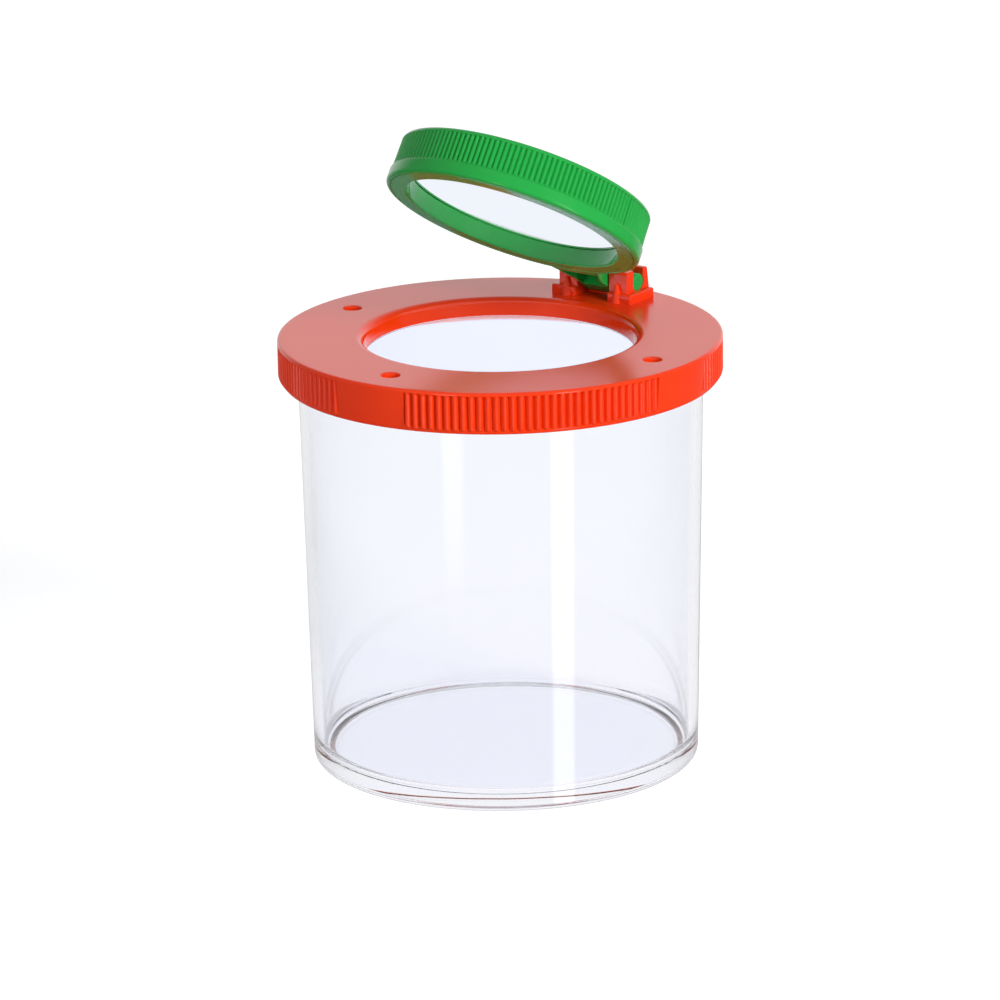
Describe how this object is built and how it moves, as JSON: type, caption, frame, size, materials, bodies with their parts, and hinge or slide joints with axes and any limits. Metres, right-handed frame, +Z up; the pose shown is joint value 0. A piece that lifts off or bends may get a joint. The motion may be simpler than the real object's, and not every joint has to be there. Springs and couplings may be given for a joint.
{
  "type": "magnifying jar",
  "caption": "Clear round specimen cup with a vented, knurled push-on lid that holds a lens, and a second lens in a knurled ring that flips up on a snap hinge.",
  "frame": {"origin": "centre of the cup's base, on the plane of its foot ring", "axes": "+Z up along the cup's axis, +Y towards the hinge of the flip-up lens, +X along the hinge pin"},
  "size_m": [0.08, 0.08, 0.1181],
  "materials": {
    "clear_jar": "clear moulded polystyrene, polished",
    "lens": "clear moulded acrylic, polished",
    "red_shell": "orange-red ABS, glossy moulded",
    "green_shell": "green ABS, glossy moulded"
  },
  "bodies": {
    "jar": {"jar": "clear_jar"},
    "lid": {"lid": "red_shell", "lid_lens": "lens", "lid_lens_ring": "clear_jar"},
    "flip_ring": {"flip_frame": "green_shell", "flip_lens": "lens", "flip_lens_ring": "green_shell"}
  },
  "joints": [
    {"name": "lid_lift", "type": "slide", "parent": "jar", "child": "lid", "axis": [0, 0, 1], "range_m": [0, 0.05]},
    {"name": "flip_hinge", "type": "hinge", "parent": "lid", "child": "flip_ring", "pos_m": [0, 0.03315, 0.0818], "axis": [-1, 0, 0], "range_deg": [-33.85, 86.15]}
  ]
}
